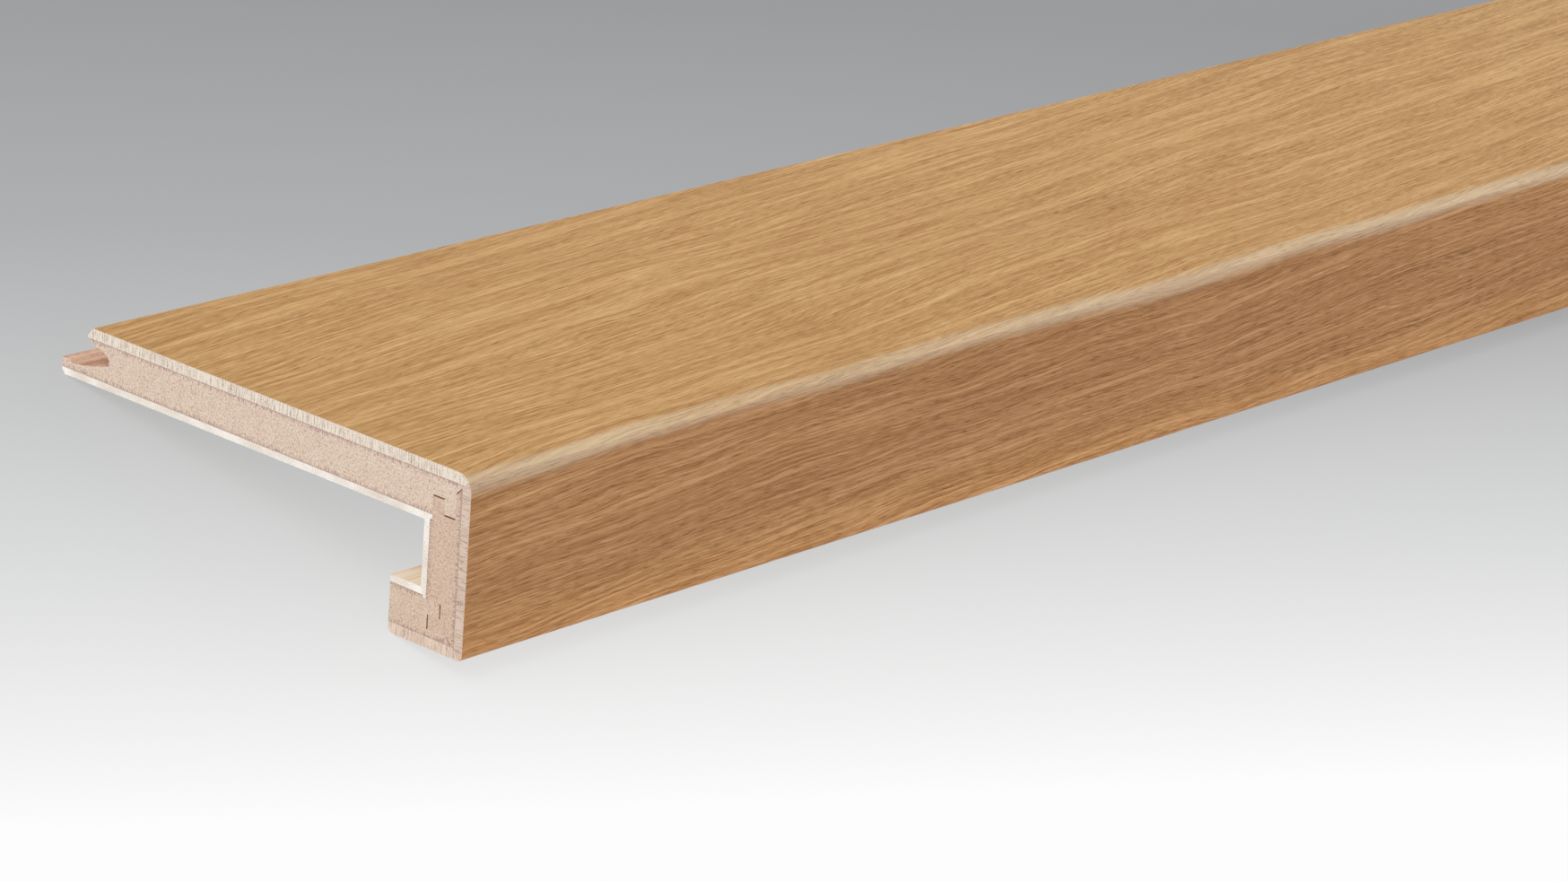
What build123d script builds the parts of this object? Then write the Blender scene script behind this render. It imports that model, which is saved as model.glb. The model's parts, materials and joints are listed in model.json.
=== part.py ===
from build123d import *
import math
import os

# Stair nosing profile: three strips of three-layer oak flooring, glued into one
# stepped section by lock mitre joints, with a click groove along the back edge.
#
# Millimetres. The profile is worked out as it is used on a stair: its section
# lies in X and Z and its length along Y. X = 0 is the front face, with the back
# edge at negative X, and Z = 0 is the walking surface. Last of all it is laid
# down as it rests on a level floor, with Z = 0 at the floor.

# The profile as a whole
length = 1200.0
tread_width = 118.0
nosing_height = 41.0
lip_width = 22.0

# The flooring that all three strips are cut from, from its face to its back
oak_thickness = 2.5
core_thickness = 8.9
backing_thickness = 1.6

# Rounded corners of the section
nose_radius = 4.0
front_corner_radius = 1.4
lip_corner_radius = 1.5

# Lock mitre, cut alike at both corners: a slanted shoulder at the inner corner,
# two tongues side by side, and a mitre out to the faces
lock_shoulder = 2.2
shoulder_slant = 0.8
tongue_width = 3.3
groove_depth = 6.1
tongue_end_gap = 0.4
tongue_reach = 3.5
mitre_shift = 0.6
mitre_gap = 0.35
mitre_gap_run = 1.4

# Click groove in the back edge of the tread
joint_face_depth = 3.3
joint_face_lean = 0.8
upper_lip_run = 4.6
upper_lip_depth = 4.9
root_run = 5.5
root_top_depth = 5.9
root_bottom_depth = 7.3
lower_lip_reach = 9.9
hook_top_depth = 9.2
hook_foot_depth = 9.9
hook_top_width = 2.4
hook_slope_run = 0.8
floor_sag = 0.3
lip_tip_bevel = 1.1

board = oak_thickness + core_thickness + backing_thickness
# Well past the section on every side, for the shapes that only cut it
beyond = tread_width + lower_lip_reach + nosing_height


def profile_outline():
    """The whole section, with its click groove and its three rounded corners."""
    tip_x = -(tread_width + lower_lip_reach)
    hook_x = tip_x + hook_top_width
    root_x = -(tread_width - root_run)
    walk = Polyline(
        (root_x, -root_bottom_depth),
        (root_x, -root_top_depth),
        (-(tread_width - upper_lip_run), -upper_lip_depth),
        (-(tread_width + joint_face_lean), -joint_face_depth),
        (-tread_width, 0),
        (0, 0),
        (0, -nosing_height),
        (-lip_width, -nosing_height),
        (-lip_width, board - nosing_height),
        (-board, board - nosing_height),
        (-board, -board),
        (tip_x + lip_tip_bevel, -board),
        (tip_x, lip_tip_bevel - board),
        (tip_x, -hook_top_depth),
        (hook_x, -hook_top_depth),
        (hook_x + hook_slope_run, -hook_foot_depth),
    )
    groove_floor = SagittaArc(walk @ 1, walk @ 0, -floor_sag)
    section = make_face(walk.edges() + groove_floor.edges())
    corners = (
        (0, 0, nose_radius),
        (0, -nosing_height, front_corner_radius),
        (-lip_width, -nosing_height, lip_corner_radius),
    )
    for x, z, radius in corners:
        corner = section.vertices().sort_by_distance((x, z))[0]
        section = fillet(corner, radius)
    return section


def first_board_zone():
    """
    What the first board of a corner keeps, as points of two distances: from
    the second board's face, and from the first board's own face.
    """
    shoulder = board - lock_shoulder
    middle = shoulder - tongue_width
    outer = middle - tongue_width
    groove_bottom = board - groove_depth
    tongue_end = groove_bottom + tongue_reach
    return [
        (beyond, board),
        (board, board),
        (shoulder, board - shoulder_slant),
        (shoulder, groove_bottom),
        (middle, groove_bottom),
        (middle, tongue_end),
        (outer, tongue_end),
        (outer, outer + mitre_shift),
        (-beyond, -beyond + mitre_shift),
        (beyond, -beyond + mitre_shift),
    ]


def second_board_zone():
    """What the second board keeps, in the same two distances."""
    shoulder = board - lock_shoulder
    middle = shoulder - tongue_width
    outer = middle - tongue_width
    tongue_end = board - groove_depth + tongue_end_gap
    groove_bottom = board - groove_depth + tongue_reach + tongue_end_gap
    gap_end = outer - mitre_gap_run
    return [
        (board, beyond),
        (board, board),
        (shoulder, board - shoulder_slant),
        (shoulder, tongue_end),
        (middle, tongue_end),
        (middle, groove_bottom),
        (outer, groove_bottom),
        (outer, outer + mitre_shift + mitre_gap),
        (gap_end, gap_end + mitre_shift + mitre_gap),
        (gap_end, gap_end + mitre_shift),
        (-beyond, -beyond + mitre_shift),
        (-beyond, beyond),
    ]


def at_nose(points):
    """Zone at the nose: the tread is the first board and the front the second."""
    return make_face(Polyline([(-a, -w) for a, w in points], close=True))


def at_foot(points):
    """Zone at the front's foot: the front is the first board, the lip the second."""
    return make_face(Polyline([(-w, a - nosing_height) for a, w in points], close=True))


def layers_below(face_height):
    """Oak, core and backing as bands downwards from a level face."""
    bands = {}
    top = face_height
    for name, thickness in layer_order():
        bands[name] = Pos(0, top - thickness / 2) * Rectangle(2 * beyond, thickness)
        top -= thickness
    return bands


def layers_above(face_height):
    """The same bands upwards from a face that looks down."""
    bands = {}
    bottom = face_height
    for name, thickness in layer_order():
        bands[name] = Pos(0, bottom + thickness / 2) * Rectangle(2 * beyond, thickness)
        bottom += thickness
    return bands


def layers_behind(face_x):
    """The same bands backwards from an upright front face."""
    bands = {}
    front = face_x
    for name, thickness in layer_order():
        bands[name] = Pos(front - thickness / 2, 0) * Rectangle(thickness, 2 * beyond)
        front -= thickness
    return bands


def layer_order():
    return (
        ("oak_layer", oak_thickness),
        ("core", core_thickness),
        ("backing", backing_thickness),
    )


def resting_place():
    """
    Turns the profile down onto its back edge, until the rounded corner of the
    lip and the corner under the click lip's tip both touch a level floor.
    """
    round_x = lip_corner_radius - lip_width
    round_z = lip_corner_radius - nosing_height
    tip_x = lip_tip_bevel - tread_width - lower_lip_reach
    run = round_x - tip_x
    rise = -board - round_z
    span = math.hypot(run, rise)
    tilt = math.atan2(rise, run) + math.asin(lip_corner_radius / span)
    return Rot(0, -math.degrees(tilt), 0)


outline = profile_outline()
boards = {
    "tread": (outline & at_nose(first_board_zone()), layers_below(0)),
    "front": (
        outline & at_nose(second_board_zone()) & at_foot(first_board_zone()),
        layers_behind(0),
    ),
    "lip": (outline & at_foot(second_board_zone()), layers_above(-nosing_height)),
}

pieces = {}
for board_name, (section, bands) in boards.items():
    for layer_name, band in bands.items():
        strip = extrude(Plane.XZ * (section & band), length / 2, both=True)
        pieces[board_name + "_" + layer_name] = resting_place() * strip

# The floor is at Z = 0, and the origin is under the middle of the whole profile.
extent = Compound(list(pieces.values())).bounding_box()
to_floor = Pos(-extent.center().X, -extent.center().Y, -extent.min.Z)

os.makedirs("parts", exist_ok=True)
for name, piece in pieces.items():
    export_step(to_floor * piece, f"parts/{name}.step")
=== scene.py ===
# %% [markdown]
# A stair nosing profile of layered oak flooring.
#
# The real object is three strips of the same floorboard, glued into a stepped
# section: a wide flat tread, an upright front and a narrow lip that turns back
# under it. Each strip has an oak face, a fibreboard core and a softwood backing,
# and all nine layers show in the sawn end. This script loads the nine pieces of
# the construction model, gives the oak its rounded edges, and then spends most of
# its lines on the four finishes: oak, oak end grain, fibreboard and veneer.

# %% Load the construction model
import json
import math

import bpy
from mathutils import Matrix, Vector


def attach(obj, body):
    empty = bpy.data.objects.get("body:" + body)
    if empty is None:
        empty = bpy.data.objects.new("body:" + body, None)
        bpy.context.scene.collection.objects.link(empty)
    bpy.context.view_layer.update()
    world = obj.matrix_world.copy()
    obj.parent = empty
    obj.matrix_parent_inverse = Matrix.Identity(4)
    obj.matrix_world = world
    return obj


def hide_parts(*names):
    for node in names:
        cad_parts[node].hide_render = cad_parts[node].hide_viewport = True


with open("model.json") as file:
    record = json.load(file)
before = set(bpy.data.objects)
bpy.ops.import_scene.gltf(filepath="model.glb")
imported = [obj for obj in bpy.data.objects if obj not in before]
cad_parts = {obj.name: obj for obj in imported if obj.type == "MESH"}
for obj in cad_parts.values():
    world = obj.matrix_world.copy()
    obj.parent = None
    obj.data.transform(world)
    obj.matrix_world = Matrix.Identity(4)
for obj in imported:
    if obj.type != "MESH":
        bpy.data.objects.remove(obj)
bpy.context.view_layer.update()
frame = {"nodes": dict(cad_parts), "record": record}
print("pieces:", ", ".join(sorted(frame["nodes"])))

# %% [markdown]
# The profile can't stand by itself the way it sits on a stair, so the model lies
# as it would on a workshop floor: tipped back on its lip and its click edge. All
# the sizes are easier to think of in the upright section, where X is the distance
# from the front face, Z the distance from the walking surface, and Y the length.
# The flat faces that the model names as mounts say how far it is tipped, and
# where the sharp corner of the upright section has gone. A mount lies on the back
# of its strip, so the thickness of a board leads from it to the walking surface.

# %% Find the upright section inside the lying profile
MM = 0.001
BOARD = 13.0
OAK = 2.5
CORE = 8.9

mounts = {mount["name"]: mount for mount in frame["record"]["mounts"]}
underside = mounts["tread_underside"]
inner_face = mounts["front_inner_face"]
section_up = -Vector(underside["axis"]).normalized()
section_forward = -Vector(inner_face["axis"]).normalized()
tilt = math.atan2(-section_up.x, section_up.z)
corner = (
    section_up * (Vector(underside["pos_m"]).dot(section_up) + BOARD * MM)
    + section_forward * (Vector(inner_face["pos_m"]).dot(section_forward) + BOARD * MM)
)
upright_to_lying = Matrix.Translation(corner) @ Matrix.Rotation(-tilt, 4, "Y")
print("tipped back by", round(math.degrees(tilt), 2), "degrees")

# %% [markdown]
# The sizes of the section, in millimetres. The height, the lip's width and the
# length are measured on the model itself: the corners of a piece's mesh are turned
# upright again, and the furthest ones are read. Only the radii and the places of
# the cuts are written down here, because a box can't tell them. The mitres don't
# meet the sharp corners of the section: they come out a little beside them.

# %% Measure the upright section
def upright_extent(name):
    """Lowest and highest corner of a model piece in the upright section, in mm."""
    back = upright_to_lying.inverted()
    points = [back @ vertex.co / MM for vertex in frame["nodes"][name].data.vertices]
    low = Vector([min(point[axis] for point in points) for axis in range(3)])
    high = Vector([max(point[axis] for point in points) for axis in range(3)])
    return low, high


lip_low, _ = upright_extent("lip_oak_layer")
_, tread_high = upright_extent("tread_oak_layer")
HEIGHT = -lip_low.z
LIP_WIDTH = -lip_low.x
END_Y = tread_high.y
TREAD_BACK = 118.0
JOINT_FACE_LEAN = 0.8
JOINT_FACE_DEPTH = 3.3
NOSE_RADIUS = 4.0
FOOT_RADIUS = 1.4
LIP_RADIUS = 1.5
MITRE_SHIFT = 0.6
print("section", round(HEIGHT, 2), "high, lip", round(LIP_WIDTH, 2), "wide")
print("length", round(2 * END_Y, 1))

# %% [markdown]
# ## The oak layers
#
# On the real profile a cutter rounds the nose after the strips are glued. The
# rounding is wider than the oak is thick, so a thin slab with a bevelled edge
# can't show it. The same order as in the workshop works here too: start with a
# blank as thick as the whole board, round its long edges, and only then saw the
# oak off it with flat cuts. A bevel with many segments makes the round, and
# bisect makes the saw cuts, closing each one with a new face.

# %% Start a blank
def nothing_selected():
    """Leaves edit mode and deselects everything, ready for the next operator."""
    if bpy.context.object and bpy.context.object.mode != "OBJECT":
        bpy.ops.object.mode_set(mode="OBJECT")
    bpy.ops.object.select_all(action="DESELECT")


def add_blank(name, low, high):
    """A block between two corners of the upright section, given in mm."""
    nothing_selected()
    middle = [(a + b) / 2 * MM for a, b in zip(low, high)]
    sides = [(b - a) * MM for a, b in zip(low, high)]
    bpy.ops.mesh.primitive_cube_add(size=1, location=middle, scale=sides)
    blank = bpy.context.object
    blank.name = name
    bpy.ops.object.transform_apply(location=True, rotation=True, scale=True)
    return blank


# %% [markdown]
# The edge to round is picked by its place in the section: both of its ends have
# to lie within REACH of it. Only then does the bevel operator know what to do.

# %% Round an edge
NOSE_SEGMENTS = 14
CORNER_SEGMENTS = 6
REACH = 0.01


def round_edge(piece, x, z, radius, segments):
    """Rounds the long edge that runs at one place of the section."""
    bpy.ops.object.mode_set(mode="EDIT")
    bpy.ops.mesh.select_all(action="DESELECT")
    bpy.ops.object.mode_set(mode="OBJECT")
    for edge in piece.data.edges:
        ends = [piece.data.vertices[i].co for i in edge.vertices]
        edge.select = all(
            abs(end.x - x * MM) < REACH * MM and abs(end.z - z * MM) < REACH * MM
            for end in ends
        )
    bpy.ops.object.mode_set(mode="EDIT")
    bpy.ops.mesh.select_mode(type="EDGE")
    bpy.ops.mesh.bevel(offset=radius * MM, segments=segments, profile=0.5)
    bpy.ops.object.mode_set(mode="OBJECT")


# %% [markdown]
# A saw cut is a plane through one place of the section. It is given the side on
# which the wood falls off, as a step in X and a step in Z. A piece that is done is
# tipped back onto the floor. Its place and turn are then put into its mesh, so
# that the object itself sits at the origin as the model's own pieces do.

# %% Saw a piece and lay it down
UP = (0, 1)
DOWN = (0, -1)
BACK = (-1, 0)
UP_FORWARD = (1, 1)
UP_BACK = (-1, 1)
DOWN_FORWARD = (1, -1)
DOWN_BACK = (-1, -1)
SMOOTH_BELOW = 25


def saw(piece, x, z, side):
    """A flat cut along the length. What lies on the given side of it falls off."""
    bpy.ops.object.mode_set(mode="EDIT")
    bpy.ops.mesh.select_all(action="SELECT")
    bpy.ops.mesh.bisect(
        plane_co=(x * MM, 0, z * MM),
        plane_no=(side[0], 0, side[1]),
        use_fill=True,
        clear_outer=True,
    )
    bpy.ops.object.mode_set(mode="OBJECT")


def lay_down(piece):
    """Turns a finished piece from the upright section to where the profile lies."""
    nothing_selected()
    piece.select_set(True)
    bpy.context.view_layer.objects.active = piece
    piece.matrix_world = upright_to_lying
    bpy.ops.object.transform_apply(location=True, rotation=True, scale=True)
    bpy.ops.object.mode_set(mode="EDIT")
    bpy.ops.mesh.select_all(action="SELECT")
    bpy.ops.mesh.normals_make_consistent(inside=False)
    bpy.ops.object.mode_set(mode="OBJECT")
    bpy.ops.object.shade_smooth_by_angle(angle=math.radians(SMOOTH_BELOW))
    print(piece.name, len(piece.data.polygons), "faces")


# %% [markdown]
# The tread's oak: the nose is rounded, the oak is sawn off at its thickness, the
# mitre takes the lower half of the rounding away, and the back edge leans out
# where the next floorboard's face meets it.
#
# One thing isn't right here. The bisect operator limits each part of its
# direction to the range from -1 to 1, so the last cut lies flatter than its two
# sizes say, and this edge reaches up to 1.1 mm further back than the model's. A
# direction with a length of one would avoid that.

# %% The tread's oak
tread_oak = add_blank(
    "tread_oak",
    (-TREAD_BACK - 2 * JOINT_FACE_LEAN, -END_Y, -BOARD),
    (0, END_Y, 0),
)
round_edge(tread_oak, 0, 0, NOSE_RADIUS, NOSE_SEGMENTS)
saw(tread_oak, 0, -OAK, DOWN)
saw(tread_oak, 0, -MITRE_SHIFT, DOWN_FORWARD)
saw(tread_oak, -TREAD_BACK, 0, (-JOINT_FACE_DEPTH, JOINT_FACE_LEAN))
lay_down(tread_oak)

# %% [markdown]
# The front's oak: the same rounding at the nose, of which this piece keeps the
# lower half, a smaller one at the foot, and a mitre at both ends.

# %% The front's oak
front_oak = add_blank("front_oak", (-BOARD, -END_Y, -HEIGHT), (0, END_Y, 0))
round_edge(front_oak, 0, 0, NOSE_RADIUS, NOSE_SEGMENTS)
round_edge(front_oak, 0, -HEIGHT, FOOT_RADIUS, CORNER_SEGMENTS)
saw(front_oak, -OAK, 0, BACK)
saw(front_oak, 0, -MITRE_SHIFT, UP_BACK)
saw(front_oak, 0, -HEIGHT - MITRE_SHIFT, DOWN_BACK)
lay_down(front_oak)

# %% [markdown]
# The lip's oak looks down. It has the other half of the foot's rounding, and one
# more along the lip's free edge.

# %% The lip's oak
lip_oak = add_blank(
    "lip_oak", (-LIP_WIDTH, -END_Y, -HEIGHT), (0, END_Y, BOARD - HEIGHT)
)
round_edge(lip_oak, 0, -HEIGHT, FOOT_RADIUS, CORNER_SEGMENTS)
round_edge(lip_oak, -LIP_WIDTH, -HEIGHT, LIP_RADIUS, CORNER_SEGMENTS)
saw(lip_oak, 0, OAK - HEIGHT, UP)
saw(lip_oak, 0, -HEIGHT - MITRE_SHIFT, UP_FORWARD)
lay_down(lip_oak)

# %% [markdown]
# ## Finishes
#
# A finish is a tree of nodes. Sums on sockets are much easier to read as Python,
# so one small class wraps a socket and overloads the operators. Anything that
# isn't a sum comes from one method, which takes the node's type, its settings and
# its sockets.

# %% Sockets that take Python sums
class Wire:
    """One output socket, with the sums that the finishes use."""

    def __init__(self, tree, socket):
        self.tree = tree
        self.socket = socket

    def node(self, kind, settings=None, sockets=None, out=0):
        """Adds any node to this socket's tree and returns one of its outputs."""
        return add_node(self.tree, kind, settings, sockets, out)

    def math(self, operation, *others):
        values = dict(enumerate((self,) + others))
        return self.node("ShaderNodeMath", {"operation": operation}, values)

    def __add__(self, other):
        return self.math("ADD", other)

    def __sub__(self, other):
        return self.math("SUBTRACT", other)

    def __mul__(self, other):
        return self.math("MULTIPLY", other)

    def __rsub__(self, other):
        return self.math("MULTIPLY_ADD", -1, other)

    def __neg__(self):
        return self.math("MULTIPLY", -1)

    __radd__ = __add__
    __rmul__ = __mul__

    def step(self, low, high):
        """0 below the first value, 1 above the second, and a smooth rise between."""
        sockets = {"Value": self, "From Min": low, "From Max": high}
        return self.node("ShaderNodeMapRange", {"interpolation_type": "SMOOTHSTEP"}, sockets)


# %% [markdown]
# The node's settings are set first, because some of them decide which sockets it
# has. A socket then gets either a link from another wire or a plain value.

# %% Nodes and their ramps
def set_stops(ramp, stops):
    """Fills a colour ramp from pairs of a place and a colour."""
    while len(ramp.elements) < len(stops):
        ramp.elements.new(1)
    for element, (place, color) in zip(ramp.elements, stops):
        element.position = place
        element.color = color


def add_node(tree, kind, settings=None, sockets=None, out=0):
    """Adds a node. Its output is chosen by a number or by its name."""
    node = tree.nodes.new(kind)
    for name, value in (settings or {}).items():
        if name == "stops":
            set_stops(node.color_ramp, value)
        else:
            setattr(node, name, value)
    for name, value in (sockets or {}).items():
        if isinstance(value, Wire):
            tree.links.new(value.socket, node.inputs[name])
        else:
            node.inputs[name].default_value = value
    return Wire(tree, node.outputs[out]) if node.outputs else None


# %% [markdown]
# Colours are written as a picture program shows them, and turned into the plain
# amounts of light that a shader counts in. Two ways of mixing them are enough
# here: one colour laid over another, and one tinted by another.

# %% Colours
def paint(red, green, blue):
    """A colour as a picture program shows it, 0 to 255, for a shader."""
    linear = []
    for value in (red, green, blue):
        share = value / 255
        low = share / 12.92
        high = ((share + 0.055) / 1.055) ** 2.4
        linear.append(low if share <= 0.04045 else high)
    return (*linear, 1)


def mixed(mode, share, first, second):
    """Mixes two colours. The Mix node's colour sockets are 6, 7 and output 2."""
    settings = {"data_type": "RGBA", "blend_type": mode, "clamp_factor": True}
    return first.node("ShaderNodeMix", settings, {0: share, 6: first, 7: second}, out=2)


def blend(share, first, second):
    """The second colour over the first, by a share from 0 to 1."""
    return mixed("MIX", share, first, second)


def tinted(base, tint):
    """A colour multiplied by another."""
    return mixed("MULTIPLY", 1.0, base, tint)


# %% [markdown]
# Every finish starts from the same place. Object coordinates are turned back into
# the upright section and scaled to millimetres, so that a pattern can say "two
# millimetres below the face". The faces of the sawn ends are told from the long
# faces by their normal, which points along the length.
#
# Each noise reads wires in millimetres that are multiplied by how many waves it
# should have in one of them: 0.2 is a wave in 5 mm, and 4 is four in one. Wood
# comes from a small number along the length and one 20 to 60 times larger across.

# %% The start of every finish
class Finish:
    """A new material, with the section's coordinates in mm as wires."""

    def __init__(self, name):
        self.material = bpy.data.materials.new(name)
        self.material.use_nodes = True
        self.tree = self.material.node_tree
        self.shader = self.tree.nodes["Principled BSDF"]
        place = add_node(self.tree, "ShaderNodeTexCoord", out="Object")
        upright = place.node(
            "ShaderNodeMapping",
            {"vector_type": "TEXTURE"},
            {
                "Vector": place,
                "Location": corner,
                "Rotation": (0, -tilt, 0),
                "Scale": (MM, MM, MM),
            },
        )
        self.x, self.y, self.z = self.split(upright)
        normal = add_node(self.tree, "ShaderNodeTexCoord", out="Normal")
        _, normal_along, _ = self.split(normal)
        self.sawn_end = normal_along.math("ABSOLUTE").step(0.6, 0.8)

    def split(self, vector):
        separate = vector.node("ShaderNodeSeparateXYZ", None, {0: vector})
        outputs = separate.socket.node.outputs
        return [Wire(self.tree, outputs[axis]) for axis in range(3)]

    def over_and_down(self, strip):
        """The way over the face of a strip, and the way down from it, in mm."""
        if strip == "tread":
            return self.x, -self.z
        if strip == "front":
            return self.z, -self.x
        return self.x, self.z + HEIGHT

    def noise(self, across, along, deep=0.0, detail=2, roughness=0.5, seed=0.0):
        """Noise over three wires, each already scaled to how fine it should be."""
        place = self.x.node("ShaderNodeCombineXYZ", None, {0: across, 1: along, 2: deep})
        sockets = {
            "Vector": place,
            "Scale": 1,
            "Detail": detail,
            "Roughness": roughness,
            "W": seed,
        }
        return self.x.node("ShaderNodeTexNoise", {"noise_dimensions": "4D"}, sockets)

    def ramp(self, value, stops):
        return value.node("ShaderNodeValToRGB", {"stops": stops}, {"Fac": value})

    def dress(self, color, roughness, height, depth, shine):
        """Links the finish to the shader. A height of 1 stands depth mm high."""
        self.shader.inputs["Specular IOR Level"].default_value = shine
        self.tree.links.new(color.socket, self.shader.inputs["Base Color"])
        self.tree.links.new(roughness.socket, self.shader.inputs["Roughness"])
        bump = height.node(
            "ShaderNodeBump", None, {"Height": height, "Distance": depth * MM, "Strength": 1}
        )
        self.tree.links.new(bump.socket, self.shader.inputs["Normal"])
        print(self.material.name, "is made of", len(self.tree.nodes), "nodes")
        return self.material


# %% [markdown]
# ### Oak
#
# Oak sawn for flooring shows long straight streaks where the year rings come to
# the surface, and thousands of short dark pores that lie along them. Both are
# noise that is stretched far along the length.
#
# The grain is never quite parallel to the edges. On each strip it leans to one
# side, and on the way it bends slowly and ripples a little. So one wire,
# ring_place, says how far across the rings a place is, and all the streaks read
# it. A thin dark line follows the edge of each ring. The pores sit mostly in the
# dark part of a ring, so their threshold follows the streaks.

# %% The grain of oak
BEND = 12.0
RIPPLE = 2.4


def oak_grain(finish, over, down, lean, rings, seed):
    """
    The grain as wires from 0 to 1, by name. lean is how far the grain drifts over
    the face for each millimetre of length, and rings is how many waves of year
    rings there are in a millimetre.
    """
    along = finish.y
    bend = finish.noise(over * 0.02, along * 0.008, down * 0.02, detail=1, seed=seed)
    ripple = finish.noise(over * 0.1, along * 0.035, down * 0.1, detail=1, seed=seed + 1)
    straight = over + down * 0.6 + along * lean
    ring_place = straight + (bend - 0.5) * BEND + (ripple - 0.5) * RIPPLE
    pore_place = ring_place + along * 0.03

    wide = finish.noise(ring_place * 0.13, along * 0.0035, seed=seed + 3)
    ring = finish.noise(ring_place * rings, along * 0.005, seed=seed + 7)
    line = finish.noise(ring_place, along * 0.022, seed=seed + 11)
    thread = finish.noise(ring_place * 2.1, along * 0.035, detail=1, seed=seed + 13)
    fibre = finish.noise(pore_place * 4.2, along * 0.20, detail=1, seed=seed + 15)
    grit = finish.noise(over * 2.4, along * 1.1, detail=1, seed=seed + 16)
    ring_edge = 1 - (ring - 0.5).math("ABSOLUTE").step(0.0, 0.06)
    tone = ring * 0.12 + line * 0.17 + thread * 0.34 + fibre * 0.31 + grit * 0.06
    tone = tone - (ring_edge * line.step(0.25, 0.6) - 0.13) * 0.055

    pore_field = finish.noise(pore_place * 3.8, along * 0.19, detail=1, seed=seed + 17)
    crowding = (0.5 - ring) * 0.35 + (0.5 - line) * 0.2
    pores = (pore_field + crowding).step(0.63, 0.69)
    relief = (1 - pores) * 0.65 + thread * 0.2 + fibre * 0.15
    return {"bands": wide.step(0.40, 0.60), "tone": tone, "pores": pores, "relief": relief}


# %% [markdown]
# The colour of the face runs from the dark to the light of the wood with the
# tone of the grain. Over it come wide darker bands, a darker tone on the upper
# front, and the brown pores. Last comes the pale strip along the nose, partly
# paler sanded wood and partly a painted highlight on the rounding. It is
# palest on the light streaks.

# %% The face of oak
GRAIN_TINT = (0.84, 0.78, 0.70, 1)
# A darker tone for the upper front; the front turns paler towards its foot.
UPPER_FRONT_TINT = (0.80, 0.79, 0.80, 1)
PORE_TINT = (0.55, 0.40, 0.20, 1)
# Pale colour of the nose strip: partly paler sanded wood, partly a painted highlight.
NOSE_PALE_AND_HIGHLIGHT = paint(209, 196, 172)


def oak_face(finish, grain, colors, bands, nose_strip, upper_darkening):
    """bands is how strongly the wide bands show."""
    face = finish.ramp(grain["tone"].step(0.34, 0.66), colors)
    face = blend(grain["bands"] * bands, face, tinted(face, GRAIN_TINT))
    face = blend(upper_darkening(finish), face, tinted(face, UPPER_FRONT_TINT))
    face = blend(grain["pores"] * 0.55, face, tinted(face, PORE_TINT))
    # The pale nose strip, partly a painted highlight on the rounding, is laid over last.
    paleness = nose_strip(finish) * (grain["tone"].step(0.2, 0.8) * 0.2 + 0.32)
    return blend(paleness, face, NOSE_PALE_AND_HIGHLIGHT)


# %% [markdown]
# The end of the oak is quite different. The sawn wood is nearly white, and rays
# and pores cross it from face to back as a fine hatch, with sawdust caught in it.

# %% The sawn end of oak
SAWN_OAK = [
    (0.0, paint(172, 155, 140)),
    (0.45, paint(242, 236, 229)),
    (1.0, paint(255, 255, 255)),
]


def oak_end(finish, over, down, end_color, seed):
    """The colour and the relief of the sawn end."""
    along = finish.y
    patch = finish.noise(over * 0.08, along * 0.1, detail=1, seed=seed + 18)
    hatch = finish.noise(over * 3.4, along * 0.4, down * 0.35, detail=1, seed=seed + 19)
    sawdust = finish.noise(over * 5.0, along * 2.0, down * 4.0, detail=1, seed=seed + 23)
    tone = hatch * 0.5 + sawdust * 0.5 + (patch - 0.5) * 0.15
    end = finish.ramp(tone.step(0.36, 0.58), SAWN_OAK)
    return tinted(end, end_color), hatch * 0.6 + sawdust * 0.4


# %% [markdown]
# Where the nose's pale strip lies, partly sanded wood and partly a painted
# highlight, is told by one wire that runs around it, from the tread to the
# front. The strip's edges wander and its paleness comes and goes along the
# length. The front is darker from the nose down, and turns paler towards its
# foot.

# %% The pale nose strip with its painted highlight, and the darker upper front
# Where the pale nose strip with its painted highlight starts and ends around the nose.
NOSE_STRIP_FROM = (-4.6, -1.8)
NOSE_STRIP_TO = (0.9, 4.3)
WANDER = 7.0
DARKER_FROM = (-1.5, 2.0)
PALER_FOOT_FROM = -27.0


def around_nose(finish):
    """0 at the mitre, -4 where the rounding leaves the tread, 4 at the front."""
    return finish.x - finish.z


# How much of the pale nose strip, partly a painted highlight, lies at a place.
def nose_sanding_and_highlight(finish):
    along = finish.y
    wander = finish.noise(along * 0.012, along * 0.004, detail=1, seed=29.0)
    strength_along = finish.noise(along * 0.009, along * 0.003, detail=1, seed=57.0)
    place = around_nose(finish) + (wander - 0.5) * WANDER
    strip = place.step(*NOSE_STRIP_FROM) * (1 - place.step(*NOSE_STRIP_TO))
    return strip * (strength_along.step(0.3, 0.6) * 0.35 + 0.75)


# The front is darker from the nose down, and paler towards its foot.
def darker_upper_front(finish):
    return finish.z.step(-HEIGHT, PALER_FOOT_FROM) * around_nose(finish).step(*DARKER_FROM)


def nowhere(finish):
    return finish.x * 0


# %% [markdown]
# One function puts the oak together, and each of the three strips gives it its
# own colours, grain and seed. The photograph shows a fine line along the front a
# few millimetres below the nose, where two pieces of oak seem to meet.

# %% Three strips of oak
GOLDEN = [(0.0, paint(163, 109, 42)), (0.5, paint(195, 149, 88)), (1.0, paint(224, 181, 124))]
BROWN = [(0.0, paint(162, 105, 45)), (0.5, paint(197, 143, 86)), (1.0, paint(228, 177, 124))]
FRONT_SEAM = -5.3


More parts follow.
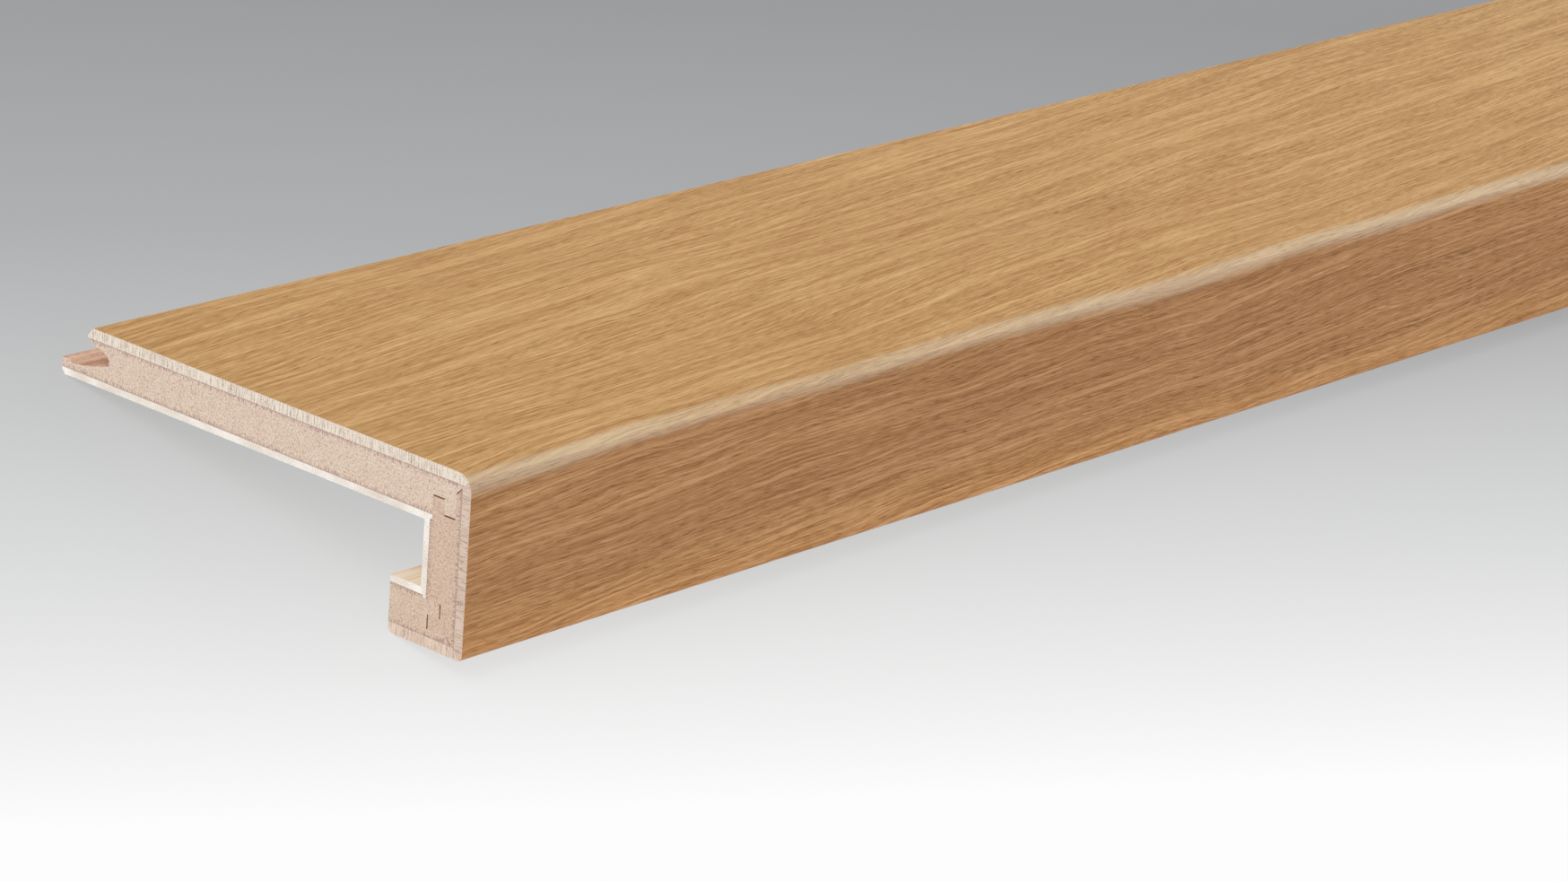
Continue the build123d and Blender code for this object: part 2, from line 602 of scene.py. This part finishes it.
def oak_finish(
    name, strip, seed, colors, end_color, bands, lean, rings,
    nose_strip=nowhere, upper_darkening=nowhere, seam=None,
):
    """
    Two arguments are functions that say how much there is at a place of the pale
    nose strip, partly a painted highlight, and of the darker upper front.
    seam is a fine line between two pieces of the oak, as a distance over the face.
    """
    finish = Finish(name)
    over, down = finish.over_and_down(strip)
    grain = oak_grain(finish, over, down, lean, rings, seed)
    face = oak_face(finish, grain, colors, bands, nose_strip, upper_darkening)
    end, end_relief = oak_end(finish, over, down, end_color, seed)
    color = blend(finish.sawn_end, face, end)
    if seam is not None:
        joint = 1 - (over - seam).math("ABSOLUTE").step(0.06, 0.2)
        color = blend(joint * 0.35, color, tinted(color, PORE_TINT))
    roughness = finish.sawn_end * 0.3 + 0.46 + grain["pores"] * 0.12
    height = grain["relief"] * (1 - finish.sawn_end) + end_relief * finish.sawn_end
    return finish.dress(color, roughness, height, depth=0.1, shine=0.35)


oak_finishes = {
    "tread_oak_layer": oak_finish(
        "oak_tread", "tread", 1.0, GOLDEN, paint(238, 227, 214),
        bands=0.12, lean=0.095, rings=0.24, nose_strip=nose_sanding_and_highlight,
    ),
    "front_oak_layer": oak_finish(
        "oak_front", "front", 41.0, BROWN, paint(220, 199, 184),
        bands=0.5, lean=-0.05, rings=0.528, nose_strip=nose_sanding_and_highlight, upper_darkening=darker_upper_front,
        seam=FRONT_SEAM,
    ),
    "lip_oak_layer": oak_finish(
        "oak_lip", "lip", 83.0, BROWN, paint(231, 211, 195), bands=0.5, lean=0.03, rings=0.528
    ),
}

# %% [markdown]
# ### Fibreboard
#
# The core is pressed wood fibre. Its sawn end is a pinkish beige, finely speckled
# with darker flecks, and dark fibres crowd along the two glue lines. One wire
# measures how far the nearer of the two glue lines is.

# %% The sawn end of fibreboard
DARK_FIBRE = paint(150, 116, 112)
SAWN_CORE = [
    (0.0, paint(208, 177, 156)),
    (0.5, paint(229, 206, 188)),
    (1.0, paint(241, 226, 210)),
]


def core_end(finish, over, down, end_tint, speck, upright_speck, seed):
    """The colour of the sawn end. The two specks are noises that the bump shares."""
    along = finish.y
    mottle = finish.noise(over * 0.4, along * 0.3, down * 0.3, seed=seed)
    end = finish.ramp((mottle * 0.15 + speck * 0.85).step(0.30, 0.70), SAWN_CORE)
    end = tinted(end, end_tint)

    below_oak = (down - OAK).math("ABSOLUTE")
    above_backing = (down - OAK - CORE).math("ABSOLUTE")
    from_glue = below_oak.math("MINIMUM", above_backing)
    crowding = 1 - from_glue.step(0.0, 1.6)
    dark_fibre = (upright_speck + crowding * 0.15).step(0.59, 0.70)
    glue_line = 1 - from_glue.step(0.05, 0.3)
    fleck = finish.noise(over * 1.7, along * 1.7, down * 1.5, detail=1, seed=seed + 12)
    end = blend(fleck.step(0.57, 0.67) * 0.4, end, DARK_FIBRE)
    end = blend(dark_fibre * 0.65, end, DARK_FIBRE)
    return blend(glue_line * 0.4, end, DARK_FIBRE)


# %% [markdown]
# Where a cutter has milled the core, as in the click groove, heat leaves it a
# browner orange, with fine dust and smeared wax along the cutter's way.

# %% Fibreboard core
MILLED_CORE = [
    (0.0, paint(184, 136, 108)),
    (0.5, paint(209, 170, 144)),
    (1.0, paint(222, 190, 166)),
]


def core_finish(name, strip, seed, end_tint):
    finish = Finish(name)
    over, down = finish.over_and_down(strip)
    along = finish.y
    speck = finish.noise(over * 2.4, along * 2.4, down * 2.4, roughness=0.6, seed=seed + 5)
    upright_speck = finish.noise(
        over * 3.4, along * 2.0, down * 0.8, roughness=0.6, seed=seed + 9
    )
    end = core_end(finish, over, down, end_tint, speck, upright_speck, seed)
    dust = finish.noise(over * 2.0, along * 0.9, down * 2.0, roughness=0.6, seed=seed + 15)
    wax = finish.noise(over * 0.3, along * 0.03, down * 0.3, detail=1, seed=seed + 16)
    milled = finish.ramp((dust * 0.5 + wax * 0.5).step(0.36, 0.66), MILLED_CORE)
    color = blend(finish.sawn_end, milled, end)
    roughness = speck * 0.1 + 0.8
    height = speck * 0.6 + upright_speck * 0.4
    return finish.dress(color, roughness, height, depth=0.1, shine=0.2)


core_finishes = {
    "tread_core": core_finish("core_tread", "tread", 5.0, (0.93, 0.93, 0.92, 1)),
    "front_core": core_finish("core_front", "front", 25.0, (0.85, 0.80, 0.75, 1)),
    "lip_core": core_finish("core_lip", "lip", 65.0, (0.88, 0.86, 0.82, 1)),
}

# %% [markdown]
# ### Backing veneer
#
# A thin softwood veneer keeps each board flat. Its sawn edge is nearly white, and
# its face is a pale cream with faint grain along the length.

# %% Backing veneer
VENEER_FACE = [
    (0.0, paint(228, 202, 172)),
    (0.5, paint(247, 229, 206)),
    (1.0, paint(252, 240, 222)),
]
SAWN_VENEER = [
    (0.0, paint(222, 208, 192)),
    (0.6, paint(241, 234, 224)),
    (1.0, paint(254, 250, 244)),
]


def veneer_finish(name, strip, seed):
    finish = Finish(name)
    over, down = finish.over_and_down(strip)
    along = finish.y
    grain = finish.noise(over * 0.5, along * 0.006, detail=4, roughness=0.6, seed=seed)
    fibre = finish.noise(over * 3.0, along * 0.07, seed=seed + 4)
    face = finish.ramp((grain * 0.65 + fibre * 0.35).step(0.32, 0.68), VENEER_FACE)
    patch = finish.noise(over * 0.16, along * 0.1, down * 0.2, detail=1, seed=seed + 6)
    grit = finish.noise(over * 3.5, along * 2.0, down * 3.0, roughness=0.6, seed=seed + 8)
    end = finish.ramp((grit * 0.6 + patch * 0.4).step(0.34, 0.66), SAWN_VENEER)
    color = blend(finish.sawn_end, face, end)
    roughness = grit * 0.1 + 0.7
    height = fibre * 0.5 + grit * 0.5
    return finish.dress(color, roughness, height, depth=0.05, shine=0.25)


backing_finishes = {
    "tread_backing": veneer_finish("veneer_tread", "tread", 3.0),
    "front_backing": veneer_finish("veneer_front", "front", 33.0),
    "lip_backing": veneer_finish("veneer_lip", "lip", 73.0),
}

# %% [markdown]
# The three new oak pieces take the places of the model's plain ones. The other six
# pieces are the model's own. They keep their meshes, so their material goes on the
# object and not on the mesh.

# %% Put the finishes on
for piece, node in (
    (tread_oak, "tread_oak_layer"),
    (front_oak, "front_oak_layer"),
    (lip_oak, "lip_oak_layer"),
):
    piece.data.materials.append(oak_finishes[node])
    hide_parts(node)
    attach(piece, "root")
for name, material in {**core_finishes, **backing_finishes}.items():
    node = frame["nodes"][name]
    if not node.material_slots:
        node.data.materials.append(None)
    for holder in node.material_slots:
        holder.link = "OBJECT"
        holder.material = material
print("finishes on", len(core_finishes) + len(backing_finishes), "model pieces and 3 new ones")

# %% [markdown]
# ## Camera
#
# The camera is placed in the upright section, where the photograph sees the tread
# level, and is then tipped back with the profile. It stands before the nose and
# beyond the sawn end, looks down by 19 degrees, and is turned on its own axis by
# a few degrees.

# %% Camera
CAMERA_FORWARD = 665.2
CAMERA_BEYOND_END = 686.0
CAMERA_UP = 341.9
LOOK_ASIDE = math.radians(-40.34)
LOOK_DOWN = math.radians(19.02)
ROLL = math.radians(4.62)
SENSOR = 36.0
FOCAL_PIXELS = 5519.0
PHOTO_WIDTH = 1748
PHOTO_HEIGHT = 983

look = Vector(
    (
        math.sin(LOOK_ASIDE) * math.cos(LOOK_DOWN),
        math.cos(LOOK_ASIDE) * math.cos(LOOK_DOWN),
        -math.sin(LOOK_DOWN),
    )
)
level_right = look.cross(Vector((0, 0, 1))).normalized()
level_down = look.cross(level_right)
picture_right = level_right * math.cos(ROLL) - level_down * math.sin(ROLL)
picture_up = picture_right.cross(look)
camera_turn = Matrix((picture_right, picture_up, -look)).transposed().to_4x4()
camera_place = Vector((CAMERA_FORWARD, -END_Y - CAMERA_BEYOND_END, CAMERA_UP)) * MM

lens = bpy.data.cameras.new("camera")
lens.sensor_fit = "HORIZONTAL"
lens.sensor_width = SENSOR
lens.lens = FOCAL_PIXELS / PHOTO_WIDTH * SENSOR
lens.clip_start = 0.01
camera = bpy.data.objects.new("camera", lens)
camera.matrix_world = upright_to_lying @ Matrix.Translation(camera_place) @ camera_turn
bpy.context.scene.collection.objects.link(camera)
bpy.context.scene.camera = camera
bpy.context.scene.view_settings.view_transform = "Standard"
print("focal length", round(lens.lens, 1))

# %% [markdown]
# ## Floor and light
#
# The floor is only a ground to stand on. The photograph's background runs
# from white close by to grey further away. Those greys are set out between
# the places where the bottom and the top of the picture meet the floor.
# First come the directions and distances.

# %% Where the picture meets the floor
def on_floor(u, v):
    """Where a place in the picture meets the floor, in metres."""
    ray = camera.matrix_world.to_3x3() @ Vector(
        (u - PHOTO_WIDTH / 2, PHOTO_HEIGHT / 2 - v, -FOCAL_PIXELS)
    )
    eye = camera.matrix_world.translation
    return eye - ray * (eye.z / ray.z)


across_floor = on_floor(PHOTO_WIDTH, PHOTO_HEIGHT / 2) - on_floor(0, PHOTO_HEIGHT / 2)
away_direction = Vector((-across_floor.y, across_floor.x, 0)).normalized()
eye_place = camera.matrix_world.translation.dot(away_direction)
near_edge = on_floor(PHOTO_WIDTH / 2, PHOTO_HEIGHT).dot(away_direction) - eye_place
far_edge = on_floor(PHOTO_WIDTH / 2, 0).dot(away_direction) - eye_place
print("floor seen from", round(near_edge, 2), "to", round(far_edge, 2), "m away")

# %% [markdown]
# The greys glow, and only the rays that look at the floor see them: from the
# camera, or by way of a glossy or a clear surface. All other rays meet an even,
# nearly white matt floor, so that the light it throws back on the profile is the
# same along the whole length. A share of the matt floor is left in what the camera
# sees, which keeps a pale shadow under the profile.

# %% Floor
FLOOR_SIZE = 14
FLOOR_WHITE = paint(238, 238, 238)
GLOW_SHARE = 0.86
FLOOR_GREYS = [
    (0.0, paint(134, 135, 138)),
    (0.25, paint(162, 163, 165)),
    (0.6, paint(216, 217, 217)),
    (0.76, paint(238, 238, 238)),
    (0.9, paint(255, 255, 255)),
]

nothing_selected()
bpy.ops.mesh.primitive_plane_add(size=FLOOR_SIZE, location=(0, 0, 0))
floor = bpy.context.object
floor.name = "floor"
floor_material = bpy.data.materials.new("floor")
floor_material.use_nodes = True
floor_tree = floor_material.node_tree
floor_tree.nodes.clear()
floor_place = add_node(floor_tree, "ShaderNodeTexCoord", out="Object")
away = floor_place.node(
    "ShaderNodeVectorMath",
    {"operation": "DOT_PRODUCT"},
    {0: floor_place, 1: away_direction},
    out="Value",
)
nearness = (away - eye_place).math("MAXIMUM", near_edge / 2).math("POWER", -1)
shade = nearness.node(
    "ShaderNodeMapRange",
    None,
    {"Value": nearness, "From Min": 1 / far_edge, "From Max": 1 / near_edge},
)
floor_color = shade.node("ShaderNodeValToRGB", {"stops": FLOOR_GREYS}, {"Fac": shade})
glow = floor_color.node("ShaderNodeEmission", None, {"Color": floor_color, "Strength": 1})
matt = floor_color.node("ShaderNodeBsdfDiffuse", None, {"Color": FLOOR_WHITE})
seen_ray = add_node(floor_tree, "ShaderNodeLightPath", out="Is Camera Ray")
for kind_of_ray in ("Is Glossy Ray", "Is Transmission Ray"):
    other_ray = add_node(floor_tree, "ShaderNodeLightPath", out=kind_of_ray)
    seen_ray = seen_ray.math("MAXIMUM", other_ray)
glow_share = seen_ray * GLOW_SHARE
floor_mix = glow_share.node("ShaderNodeMixShader", None, {0: glow_share, 1: matt, 2: glow})
add_node(floor_tree, "ShaderNodeOutputMaterial", None, {"Surface": floor_mix})
floor.data.materials.append(floor_material)

# %% [markdown]
# The light is even, from a pale sky and one large soft lamp high over the sawn
# end, so that the tread is brightest, then the end, and the front a little darker.
# A weak lamp before the front fills it, and one far behind glides over the nose.

# %% Light
SKY = 0.58

world = bpy.data.worlds.new("studio")
bpy.context.scene.world = world
world.use_nodes = True
sky = world.node_tree.nodes["Background"]
sky.inputs["Color"].default_value = (1, 1, 1, 1)
sky.inputs["Strength"].default_value = SKY


def add_sun(name, strength, softness, towards):
    """A sun that shines along a direction. Its softness is in degrees."""
    lamp = bpy.data.lights.new(name, "SUN")
    lamp.energy = strength
    lamp.angle = math.radians(softness)
    holder = bpy.data.objects.new(name, lamp)
    holder.rotation_euler = Vector(towards).to_track_quat("-Z", "Y").to_euler()
    bpy.context.scene.collection.objects.link(holder)
    print(name, "lamp shines with", strength)


add_sun("key", strength=1.35, softness=40, towards=(0.2, 0.62, -0.8))
add_sun("fill", strength=0.6, softness=50, towards=(-0.9, 0.25, -0.12))
add_sun("nose_glint", strength=0.4, softness=25, towards=(-0.16, -0.72, -0.67))
